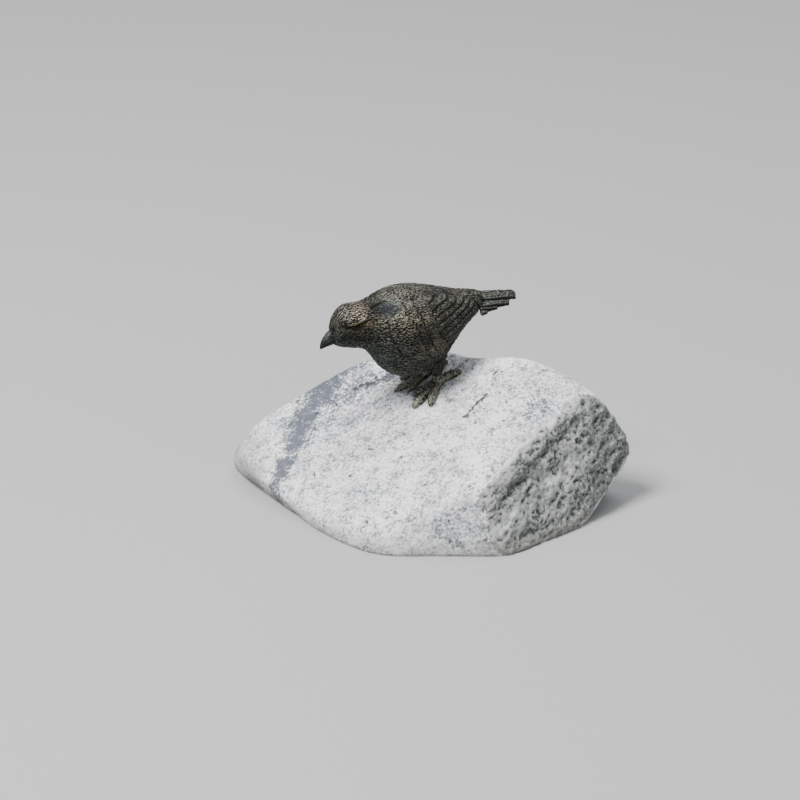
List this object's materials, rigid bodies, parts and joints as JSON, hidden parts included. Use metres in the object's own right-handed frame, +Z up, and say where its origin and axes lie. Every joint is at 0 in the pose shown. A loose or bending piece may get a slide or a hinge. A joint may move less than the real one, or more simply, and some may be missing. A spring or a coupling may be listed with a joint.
{
  "type": "bronze sparrow statue on a stone base",
  "caption": "Life-size cast bronze house sparrow, bent forward and looking down, standing on its own boulder of pale grey-veined marble; a still garden statue.",
  "frame": {"origin": "bottom centre of the whole object's bounding box, on the flat underside of the stone", "axes": "+Z up; +X along the long side of the stone, towards its broken end and the bird's tail; +Y from the stone's low front to its back. The bird looks towards -X and a little towards -Y."},
  "size_m": [0.2824, 0.1913, 0.151],
  "materials": {
    "marble": "rough-split pale marble with blue-grey veins",
    "bronze": "dark brown-grey patina, worn golden brown on the high places, verdigris in the hollows",
    "bronze_dark": "dark patina"
  },
  "bodies": {
    "root": {"stone_base": "marble", "head": "bronze", "neck": "bronze", "trunk": "bronze", "bill_upper": "bronze", "bill_lower": "bronze", "eye_left": "bronze_dark", "eye_right": "bronze_dark", "wing_left": "bronze", "wing_right": "bronze", "tail": "bronze", "thigh_left": "bronze", "thigh_right": "bronze", "shank_left": "bronze", "shank_right": "bronze", "foot_left": "bronze", "foot_right": "bronze"}
  },
  "joints": []
}
